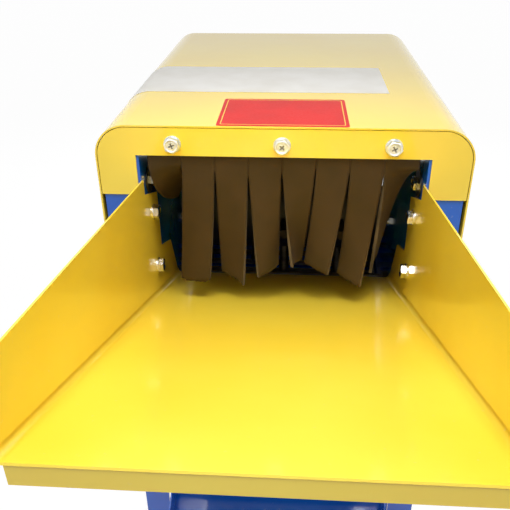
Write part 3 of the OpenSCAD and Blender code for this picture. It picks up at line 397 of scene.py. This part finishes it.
def strip_piece(k):
    """One strip: two faces of sheet rubber, knife-cut edges and a frayed lower end."""
    chance = random.Random(FIRST_SEED + k)
    mesh = bmesh.new()
    ragged = [chance.uniform(-FRAY[k], FRAY[k]) for _ in range(STRIP_COLUMNS + 1)]
    grid = []
    for row in range(STRIP_ROWS + 1):
        share = row / STRIP_ROWS
        left, right = (strip_edge_point(k, side, share) for side in (0, 1))
        ahead = sum((strip_edge_point(k, side, share + STEP_AHEAD) for side in (0, 1)), Vector())
        down = (ahead - left - right).normalized()
        square_to = (right - left).normalized().cross(down).normalized()
        if square_to.y > 0:
            square_to = -square_to
        line = []
        for col in range(STRIP_COLUMNS + 1):
            v = col / STRIP_COLUMNS
            loose = min(1.0, LOOSENING * ((1 - v) * freed(k, 0, left.z) + v * freed(k, 1, right.z)))
            outward = Vector((0, -1, 0)).lerp(square_to, loose).normalized()
            bow = BOW[k] * math.sin(math.pi * v) * loose * share ** BOW_GROWTH
            point = left.lerp(right, v) + outward * bow
            if row == STRIP_ROWS:
                point += down * ragged[col]
            line.append((point, outward * RUBBER_T / 2))
        grid.append(line)
    front = [[mesh.verts.new(at(*(p + n))) for p, n in line] for line in grid]
    back = [[mesh.verts.new(at(*(p - n))) for p, n in line] for line in grid]
    for row in range(STRIP_ROWS):
        for col in range(STRIP_COLUMNS):
            for side, turned in ((front, False), (back, True)):
                corners = [side[row][col], side[row + 1][col], side[row + 1][col + 1], side[row][col + 1]]
                face = mesh.faces.new(corners[::-1] if turned else corners)
                face.smooth = True
    rim = [(row, 0) for row in range(STRIP_ROWS)]
    rim += [(STRIP_ROWS, col) for col in range(STRIP_COLUMNS)]
    rim += [(row, STRIP_COLUMNS) for row in range(STRIP_ROWS, 0, -1)]
    rim += [(0, col) for col in range(STRIP_COLUMNS, 0, -1)]
    for (r0, c0), (r1, c1) in zip(rim, rim[1:] + rim[:1]):
        edge = mesh.faces.new((back[r0][c0], back[r1][c1], front[r1][c1], front[r0][c0]))
        edge.material_index = 1
    piece = piece_from(f"curtain_strip_{k + 1}", "black_rubber", mesh, (FINISHES["black_rubber"], CUT_RUBBER))
    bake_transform(piece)
    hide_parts(f"strip_{k + 1}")


for k in range(len(STRIP_TIPS)):
    strip_piece(k)

band_mesh = bmesh.new()
bmesh.ops.create_cube(band_mesh, size=1)
for corner in band_mesh.verts:
    corner.co = at(
        CURTAIN_LOW.x if corner.co.x < 0 else CURTAIN_HIGH.x,
        CURTAIN_LOW.y if corner.co.y < 0 else CURTAIN_HIGH.y,
        CURTAIN_JOINT if corner.co.z < 0 else CURTAIN_HIGH.z,
    )
band = piece_from("curtain_top", "black_rubber", band_mesh, body="machine")
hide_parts("curtain_band")


# Bolts: chamfered hexagon heads, turned washers, rolled threads
BOLT_R = 4.0
BOLT_AF = 13.0
HEAD_H = 5.3
NUT_H = 6.5
WASHER_R = 8.0
WASHER_T = 1.6
CHAMFER_R = 6.1
HEX_SIDES = 48
BORE_GAP = 0.3
WASHER_ROUND = 0.4
DISH_RIM = 0.9
DISH_SLOPE = 0.6
DISH_DEEP = 0.45
THREAD_PITCH = 1.25
THREAD_DEEP = 0.7
THREAD_SIDES = 24
BOLT_PAST_NUT = 2


def hex_radius(turn):
    """Radius of the hexagon's side at an angle."""
    return BOLT_AF / 2 / math.cos((turn + math.pi / 6) % (math.pi / 3) - math.pi / 6)


def chamfer_drop(turn):
    """How far the 30 degree chamfer has fallen where it meets the hexagon's side."""
    return max(0, hex_radius(turn) - CHAMFER_R) * math.tan(math.radians(30))


def washer(mesh, place, height, radius=WASHER_R, thick=WASHER_T, material=0):
    """Flat washer with a rolled edge on one side."""
    bore = BOLT_R + BORE_GAP
    profile = ((bore, 0), (radius, 0), (radius, thick * 0.6), (radius - WASHER_ROUND, thick), (bore, thick))
    skin(mesh, [ring(mesh, place, HEX_SIDES, r, height + z) for r, z in profile], material)


def hex_head(mesh, place, height, high, dished=True):
    """Cold-headed hexagon with a chamfered crown, and a shallow dish in it."""
    top = height + high
    rings = [ring(mesh, place, HEX_SIDES, hex_radius, height)]
    rings.append(ring(mesh, place, HEX_SIDES, hex_radius, lambda turn: top - chamfer_drop(turn)))
    rings.append(ring(mesh, place, HEX_SIDES, CHAMFER_R, top))
    if dished:
        rings.append(ring(mesh, place, HEX_SIDES, CHAMFER_R - DISH_RIM, top))
        rings.append(ring(mesh, place, HEX_SIDES, CHAMFER_R - DISH_RIM - DISH_SLOPE, top - DISH_DEEP))
    skin(mesh, rings)


def threaded_end(mesh, place, low, high):
    """Rolled thread between two heights."""
    steps = max(2, round((high - low) / THREAD_PITCH * 2))
    rings = []
    for k in range(steps + 1):
        crest = BOLT_R if k % 2 else BOLT_R - THREAD_DEEP
        rings.append(ring(mesh, place, THREAD_SIDES, crest, low + (high - low) * k / steps))
    skin(mesh, rings)


def bolt(mesh, place, grip, head_washer=WASHER_R, washer_material=0, head=True):
    """Bolt with its head at the place, pointing along its Z, and washer and nut behind the grip; head
    may be left out where it is made apart."""
    washer(mesh, place, 0, head_washer, material=washer_material)
    if head:
        hex_head(mesh, place, WASHER_T, HEAD_H)
    threaded_end(mesh, place, -grip - WASHER_T - NUT_H - BOLT_PAST_NUT, 0)
    washer(mesh, place, -grip - WASHER_T)
    hex_head(mesh, place, -grip - WASHER_T - NUT_H, NUT_H, dished=False)


def facing(x, y, z, turn_axis, degrees, spin=0.0):
    """Placing matrix in millimetres at a point, with its Z turned about an axis and spun about itself."""
    return (Matrix.Translation(at(x, y, z)) @ Matrix.Rotation(math.radians(degrees), 4, turn_axis)
            @ Matrix.Rotation(math.radians(spin), 4, "Z") @ Matrix.Scale(MM, 4))


def cut_away(piece, cutter):
    """Cuts one object out of another for good."""
    knife = piece.modifiers.new("cut", "BOOLEAN")
    knife.object = cutter
    knife.solver = "EXACT"
    bpy.context.view_layer.update()
    carved = bpy.data.meshes.new_from_object(piece.evaluated_get(bpy.context.evaluated_depsgraph_get()))
    piece.modifiers.remove(knife)
    piece.data = carved
    bpy.data.objects.remove(cutter)


# Half-length and half-width of a cross recess's arms at the top and at its foot
RECESS_TOP = (3.5, 0.85)
RECESS_FOOT = (1.6, 0.4)
RECESS_DEPTH = 2.4
RECESS_SPIN = 7
CUTTER_PAST = 0.4


def cross_outline(reach, half):
    """The twelve corners of a cross."""
    quarter = ((reach, -half), (reach, half), (half, half))
    return [Vector((x, y)) @ Matrix.Rotation(-math.radians(90 * k), 2) for k in range(4) for x, y in quarter]


def cross_recess(mesh, place, top):
    """Tapered cross that a screwdriver fills."""
    rings = []
    for (reach, half), height in ((RECESS_FOOT, top - RECESS_DEPTH), (RECESS_TOP, top + CUTTER_PAST)):
        rings.append([mesh.verts.new(place @ Vector((p.x, p.y, height))) for p in cross_outline(reach, half)])
    skin(mesh, rings, 1)


# Place of each front bolt across the plate, and the spin at which the spanner left its hexagon
CURTAIN_BOLTS = ((-100, 12), (0, 40), (100, 22))
CURTAIN_GRIP = box_mm("clamp_bar")[1].y
head_mesh = bmesh.new()
recess_mesh = bmesh.new()
for x, spin in CURTAIN_BOLTS:
    place = facing(x, 0, 0, "X", 90, spin)
    hex_head(head_mesh, place, WASHER_T, HEAD_H)
    cross_recess(recess_mesh, place @ Matrix.Rotation(math.radians(RECESS_SPIN), 4, "Z"), WASHER_T + HEAD_H)
# The recess faces take the grey enamel: painted shade in the cross
bolt_finish = (PALE_ZINC, RECESS_PAINTED_SHADE)
heads = piece_from("bolt_heads", "zinc_plate", head_mesh, bolt_finish)
cut_away(heads, piece_from("recess_cutter", "zinc_plate", recess_mesh, bolt_finish))
curtain_mesh = bmesh.new()
curtain_mesh.from_mesh(heads.data)
bpy.data.objects.remove(heads)
for x, spin in CURTAIN_BOLTS:
    bolt(curtain_mesh, facing(x, 0, 0, "X", 90, spin), CURTAIN_GRIP, head=False)
curtain_bolts = piece_from("front_bolts", "zinc_plate", curtain_mesh, bolt_finish, body="machine")
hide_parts("curtain_bolts")

# Distance behind the plate and height from the front bolts of each tab bolt, then its spin on either side
TAB_BOLTS = ((25, -81, 8, 25), (25, -143, 33, 15))
HOPPER_IN = box_mm("hopper_wall_right")[0].x
SIDE_OUT = box_mm("side_wall_right")[1].x
SIDE_IN = box_mm("side_wall_right")[0].x
tab_mesh = bmesh.new()
for y, z, left_spin, right_spin in TAB_BOLTS:
    bolt(tab_mesh, facing(-HOPPER_IN, y, z, "Y", 90, left_spin), SIDE_OUT - HOPPER_IN)
    bolt(tab_mesh, facing(HOPPER_IN, y, z, "Y", -90, right_spin), SIDE_OUT - HOPPER_IN)
tab_bolts = piece_from("tab_bolts", "zinc_plate", tab_mesh, body="machine")
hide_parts("hopper_bolts")

# The bolt with the large washer on each chamber wall
LARGE_WASHER_R = 14
LARGE_AT = (33, -48)
LARGE_SPIN = 20
large_mesh = bmesh.new()
for side, turn in ((-1, 90), (1, -90)):
    place = facing(side * SIDE_IN, *LARGE_AT, "Y", turn, LARGE_SPIN)
    bolt(large_mesh, place, SIDE_OUT - SIDE_IN, LARGE_WASHER_R, 1)
large_bolts = piece_from("large_washer_bolts", "zinc_plate", large_mesh,
                         (FINISHES["zinc_plate"], DARK_WASHER), body="machine")
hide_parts("side_wall_bolts")

# Bolts of the two flange bearings
BEARING_PITCH = 99
BEARING_FLANGE = 13
ROTOR_Y = middle_mm("bearing_left").y
ROTOR_Z = middle_mm("bearing_left").z
bearing_mesh = bmesh.new()
for side, turn in ((-1, 90), (1, -90)):
    for end in (-1, 1):
        place = facing(side * SIDE_IN, ROTOR_Y + end * BEARING_PITCH / 2, ROTOR_Z, "Y", turn, 10 + 15 * end)
        bolt(bearing_mesh, place, SIDE_OUT - SIDE_IN + BEARING_FLANGE)
bearing_bolts = piece_from("flange_bolts", "zinc_plate", bearing_mesh, body="machine")
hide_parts("bearing_bolts")

# Motor bolts stand on the motor's feet
MOTOR_Y = middle_mm("motor_shaft").y
MOTOR_Z = middle_mm("motor_shaft").z
MOTOR_LOW, MOTOR_HIGH = box_mm("motor_housing")
MOTOR_FOOT_Y = 140
MOTOR_FOOT_T = 9
MOTOR_RAIL_T = 5
MOTOR_BOLT_X = (95, -30)
motor_mesh = bmesh.new()
for x in MOTOR_BOLT_X:
    for end in (-1, 1):
        place = facing(x, MOTOR_Y + end * MOTOR_FOOT_Y / 2, MOTOR_LOW.z + MOTOR_FOOT_T, "Z", 20 * end)
        bolt(motor_mesh, place, MOTOR_FOOT_T + MOTOR_RAIL_T)
motor_bolts = piece_from("motor_foot_bolts", "zinc_plate", motor_mesh, body="machine")
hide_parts("motor_bolts")


# Small flange screws that hold covers, panels and hinge leaves
SMALL = 0.58
# Radius and height of the washer face before it is scaled down
FLANGE = ((8.2, -0.5), (8.2, 0.9), (6.9, 1.7), (6.4, 1.7))
FLANGE_HEAD = 1.4


def flange_screw(mesh, place):
    """Small hexagon screw with a washer face, its head along the place's Z."""
    small = place @ Matrix.Scale(SMALL, 4)
    skin(mesh, [ring(mesh, small, 32, r, z) for r, z in FLANGE])
    hex_head(mesh, small, FLANGE_HEAD, HEAD_H)


# Faces that the screws sit on, and where they stand on them
GUARD_OUT = box_mm("belt_guard")[1].x
PANEL_FRONT = box_mm("front_panel")[0].y
PANEL_REAR = box_mm("rear_panel")[1].y
LEAF_T = 2
LEAF_BACK = box_mm("hinge_fixed_leaf")[0].y + LEAF_T
ANGLE_W = 30
PANEL_SCREW_X = box_mm("front_panel")[1].x - ANGLE_W / 2
BOX_INSET = 7
PANEL_SCREW_Z = (-150, -250, -350)
REAR_SCREW_Z = (-140, -290)
LEAF_SCREW_X = (-96, -34, 34, 96)
FIXED_LEAF_SCREW_Z = -39
MOVING_LEAF_SCREW_Z = -11.5
GUARD_SCREWS = ((ROTOR_Y - 50, ROTOR_Z + 34), (ROTOR_Y + 54, ROTOR_Z + 22),
                (MOTOR_Y - 36, MOTOR_Z - 18), (MOTOR_Y + 34, MOTOR_Z - 22))
SHIELD_SCREW_R = 62
SHIELD_X = MOTOR_HIGH.x - 5
screw_mesh = bmesh.new()
for low, high in (box_mm("switch_box"), box_mm("terminal_box")):
    for x in (low.x + BOX_INSET, high.x - BOX_INSET):
        for z in (low.z + BOX_INSET, high.z - BOX_INSET):
            flange_screw(screw_mesh, facing(x, low.y, z, "X", 90, x + z))
for y, z in GUARD_SCREWS:
    flange_screw(screw_mesh, facing(GUARD_OUT, y, z, "Y", 90, y))
for side in (-1, 1):
    for z in PANEL_SCREW_Z:
        flange_screw(screw_mesh, facing(side * PANEL_SCREW_X, PANEL_FRONT, z, "X", 90, z))
    for z in REAR_SCREW_Z:
        flange_screw(screw_mesh, facing(side * PANEL_SCREW_X, PANEL_REAR, z, "X", -90, z))
for x in LEAF_SCREW_X:
    flange_screw(screw_mesh, facing(x, LEAF_BACK, FIXED_LEAF_SCREW_Z, "X", -90, x))
for k in range(4):
    turn = math.radians(45 + 90 * k)
    y = MOTOR_Y + SHIELD_SCREW_R * math.cos(turn)
    z = MOTOR_Z + SHIELD_SCREW_R * math.sin(turn)
    flange_screw(screw_mesh, facing(SHIELD_X, y, z, "Y", 90, 30 * k))
piece_from("cover_screws", "zinc_plate", screw_mesh, body="machine")

hood_screw_mesh = bmesh.new()
for x in LEAF_SCREW_X:
    flange_screw(hood_screw_mesh, facing(x, LEAF_BACK, MOVING_LEAF_SCREW_Z, "X", -90, x))
piece_from("hood_leaf_screws", "zinc_plate", hood_screw_mesh, body="hood")


# Weld beads on the stand; the ripples and a hand's sway are shares of a bead's radius
BEAD_R = 2.4
RIPPLE_MM = 1.8
RINGS_PER_RIPPLE = 4
END_SWELL = 0.35
RIPPLE_SWELL = 0.14
HAND_SWAY = 0.05


def weld_bead(mesh, start, end, seed):
    """Hand-laid weld bead between two points in millimetres: round, rippled and a little lumpy."""
    chance = random.Random(seed)
    run = Vector(end) - Vector(start)
    steps = max(4, round(run.length / RIPPLE_MM * RINGS_PER_RIPPLE))
    turned = run.to_track_quat("Z", "Y").to_matrix().to_4x4()
    rings = []
    for k in range(steps + 1):
        swell = END_SWELL
        if k not in (0, steps):
            ripple = (k % RINGS_PER_RIPPLE) / (RINGS_PER_RIPPLE - 1)
            swell = 1 + RIPPLE_SWELL * ripple + chance.uniform(-HAND_SWAY, HAND_SWAY)
        middle = Vector(start).lerp(Vector(end), k / steps)
        place = Matrix.Translation(at(*middle)) @ turned @ Matrix.Scale(MM, 4)
        rings.append(ring(mesh, place, 10, BEAD_R * swell, 0))
    skin(mesh, rings)


# The corner lines of the legs, the top of the feet and the underside of the top rails
LEG_X = 169
FRONT_LEG_Y = 3.5
REAR_LEG_Y = 438
FOOT_T = 6
FOOT_TOP = box_mm("leg_front_right")[0].z + FOOT_T
RAIL_Z = box_mm("leg_front_right")[1].z
RAIL_WELD_INSET = 2
bead_mesh = bmesh.new()
for side in (-1, 1):
    for leg_y, inward in ((FRONT_LEG_Y, 1), (REAR_LEG_Y, -1)):
        seed = round(leg_y + side * 7)
        x = side * LEG_X
        inner_x = side * (LEG_X - ANGLE_W)
        inner_y = leg_y + inward * ANGLE_W
        weld_bead(bead_mesh, (x, leg_y, FOOT_TOP), (inner_x, leg_y, FOOT_TOP), seed)
        weld_bead(bead_mesh, (x, leg_y, FOOT_TOP), (x, inner_y, FOOT_TOP), seed + 1)
        weld_bead(bead_mesh, (x, leg_y + RAIL_WELD_INSET * inward, RAIL_Z), (x, inner_y, RAIL_Z), seed + 2)
beads = piece_from("stand_welds", "blue_paint", bead_mesh, body="machine")
for face in beads.data.polygons:
    face.use_smooth = True


# Grease nipples on the two bearings: radius and height of each turned step
NIPPLE = ((3.2, 0), (3.2, 4), (2.0, 5), (1.6, 7), (2.3, 8.2), (1.8, 9.6), (0.6, 10))
BEARING_HOUSING_H = 19
NIPPLE_FOOT_Z = ROTOR_Z + 30
nipple_mesh = bmesh.new()
for side in (-1, 1):
    place = facing(side * (SIDE_OUT + BEARING_HOUSING_H), ROTOR_Y, NIPPLE_FOOT_Z, "Z", 0)
    skin(nipple_mesh, [ring(nipple_mesh, place, 20, r, z) for r, z in NIPPLE])
piece_from("grease_nipples", "zinc_plate", nipple_mesh, body="machine")

# Lifting eye on the motor, on a turned boss: heights are from the motor's axis
EYE_R = 12
EYE_BAR_R = 4
EYE_X = 40
EYE_UP = 88
EYE_SIDES = 28
BOSS_UP = 64
BOSS = ((9, 0), (9, 10), (7, 12), (4, 13))
eye_mesh = bmesh.new()
eye_rings = []
for k in range(EYE_SIDES):
    turn = 2 * math.pi * k / EYE_SIDES
    place = (Matrix.Translation(at(EYE_X, MOTOR_Y, MOTOR_Z + EYE_UP)) @ Matrix.Rotation(-turn, 4, "Y")
             @ Matrix.Scale(MM, 4) @ Matrix.Translation((EYE_R, 0, 0)))
    eye_rings.append(ring(eye_mesh, place, 12, EYE_BAR_R, 0))
skin(eye_mesh, eye_rings + eye_rings[:1], caps=False)
boss_place = facing(EYE_X, MOTOR_Y, MOTOR_Z + BOSS_UP, "Z", 0)
skin(eye_mesh, [ring(eye_mesh, boss_place, 24, r, z) for r, z in BOSS])
eye = piece_from("lifting_eye", "motor_paint", eye_mesh, body="machine")
for face in eye.data.polygons:
    face.use_smooth = True


# Bare red plate on the hood; the white one keeps its own node
PLATE_CORNER = 3.0
# A thin raised line runs round the plate, its corners rounder outside than inside
LINE_INSET = 3.2
LINE_W = 0.9
LINE_RISE = 0.05
LINE_OUTER_CORNER = 2.0
LINE_INNER_CORNER = 1.4


def film_outline(low, high, inset, corner):
    """Points of a rectangle with round corners, inset from a node's outline."""
    corners = ((high.x, high.y, 0), (low.x, high.y, 90), (low.x, low.y, 180), (high.x, low.y, 270))
    points = []
    for cx, cy, start in corners:
        x = cx - math.copysign(inset + corner, cx - (low.x + high.x) / 2)
        y = cy - math.copysign(inset + corner, cy - (low.y + high.y) / 2)
        for k in range(7):
            turn = math.radians(start + 15 * k)
            points.append((x + corner * math.cos(turn), y + corner * math.sin(turn)))
    return points


low, high = box_mm("red_plate")
film_mesh = bmesh.new()
edge = film_outline(low, high, 0, PLATE_CORNER)
skin(film_mesh, [[film_mesh.verts.new(at(x, y, z)) for x, y in edge] for z in (low.z, high.z)])
outer = film_outline(low, high, LINE_INSET, LINE_OUTER_CORNER)
inner = film_outline(low, high, LINE_INSET + LINE_W, LINE_INNER_CORNER)
rows = [[film_mesh.verts.new(at(x, y, high.z + rise)) for x, y in line]
        for line, rise in ((outer, 0), (outer, LINE_RISE), (inner, LINE_RISE), (inner, 0))]
skin(film_mesh, rows + rows[:1], 1, caps=False)
bare = piece_from("bare_red_plate", "red_vinyl", film_mesh, (FINISHES["red_vinyl"], YELLOW_LINE), body="hood")
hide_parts("red_plate")


# Edges of the sheet and plate nodes, rounded by the coat
for node, width_mm in {
    "hood_front_plate": 0.4, "hopper_wall_left": 0.4, "hopper_wall_right": 0.4, "front_panel": 0.5,
    "kernel_chute": 0.4, "cob_chute": 0.4, "belt_guard": 0.6, "switch_box": 2.0, "terminal_box": 2.0,
    "rear_panel": 0.5, "side_wall_left": 0.5, "side_wall_right": 0.5, "motor_rails": 0.8, "lower_frame": 0.8,
    "leg_front_left": 0.8, "leg_front_right": 0.8, "leg_rear_left": 0.8, "leg_rear_right": 0.8,
    "top_rail_left": 0.8, "top_rail_right": 0.8, "bearing_left": 1.2, "bearing_right": 1.2,
    "white_plate": 0.15, "knob_left": 1.5, "knob_right": 1.5, "switch_rocker": 0.8, "hinge_fixed_leaf": 0.4,
    "hinge_moving_leaf": 0.4, "clamp_bar": 0.5, "rotor_pegs": 1.0,
}.items():
    soften(frame["nodes"][node], width_mm)

bpy.context.view_layer.update()

# Stage and light; the floor's half-width is in metres
FLOOR_HALF = 6.0
floor_mesh = bmesh.new()
bmesh.ops.create_grid(floor_mesh, x_segments=1, y_segments=1, size=FLOOR_HALF)
floor_data = bpy.data.meshes.new("floor")
floor_mesh.to_mesh(floor_data)
floor_mesh.free()
floor = bpy.data.objects.new("floor", floor_data)
bpy.context.scene.collection.objects.link(floor)


def seen_plainly(tree):
    """1 for rays of the camera, of gloss and of glass, which see the white background."""
    path = add(tree, "LightPath", {})
    mirrored = add(tree, "Math", {"operation": "MAXIMUM"},
                   {0: path.outputs["Is Camera Ray"], 1: path.outputs["Is Glossy Ray"]})
    return add(tree, "Math", {"operation": "MAXIMUM"}, {0: mirrored, 1: path.outputs["Is Transmission Ray"]})


# Pale studio floor: matt paper, with the white background glowing through it where it is seen plainly
floor_look, floor_tree, floor_place = start_material("pale_floor")
floor_noise = add(floor_tree, "TexNoise", {"Scale": scale_of(400)}, {"Vector": floor_place})
floor_tone = add(floor_tree, "MixRGB", {"Color1": colour("#F4F4F4"), "Color2": colour("#F0F0F0")},
                 {"Fac": floor_noise})
floor_matt = add(floor_tree, "BsdfPrincipled", {"Roughness": 0.6}, {"Base Color": floor_tone})
floor_glow = add(floor_tree, "Emission", {"Strength": 1.1, "Color": (1, 1, 1, 1)})
# This share of the glow and the lamps on the matt floor together come to white
glow_share = add(floor_tree, "Math", {"operation": "MULTIPLY", 1: 0.85}, {0: seen_plainly(floor_tree)})
floor_mix = add(floor_tree, "MixShader", {}, {0: glow_share, 1: floor_matt, 2: floor_glow})
add(floor_tree, "OutputMaterial", {}, {"Surface": floor_mix})
floor_data.materials.append(floor_look)

world = bpy.data.worlds.new("studio")
bpy.context.scene.world = world
world.use_nodes = True
world.node_tree.nodes.clear()
world_tree = world.node_tree
soft = add(world_tree, "Background", {"Color": (1, 1, 1, 1), "Strength": 0.27})
white = add(world_tree, "Background", {"Color": (1, 1, 1, 1), "Strength": 1.0})
world_mix = add(world_tree, "MixShader", {}, {0: seen_plainly(world_tree), 1: soft, 2: white})
add(world_tree, "OutputWorld", {}, {"Surface": world_mix})


def lamp(name, place, aim, size, power, spread=180):
    """A square soft box at a place, facing a point, of a size in metres and a power in watts; a grid
    on it narrows its spread in degrees."""
    light = bpy.data.lights.new(name, "AREA")
    light.size = size
    light.spread = math.radians(spread)
    light.energy = power
    made = bpy.data.objects.new(name, light)
    bpy.context.scene.collection.objects.link(made)
    made.location = place
    made.rotation_euler = (Vector(aim) - Vector(place)).to_track_quat("-Z", "Y").to_euler()
    return made


# What the lamps face: the feed mouth, and the middle of the machine
MOUTH = at(0, 0, -80)
MIDDLE = at(0, 220, -300)
lamp("top", at(0, -420, 700), at(0, -170, -100), 0.5, 1.5, 60)
lamp("left", at(-1000, -600, 600), MOUTH, 1.2, 3.8)
lamp("right", at(1000, -600, 600), MOUTH, 1.2, 4.2)
rear = lamp("rear", at(0, 1700, 450), MIDDLE, 1.6, 7)
# The rear lamp only fills the back, so it stays out of the reflections on the hood
rear.visible_glossy = False
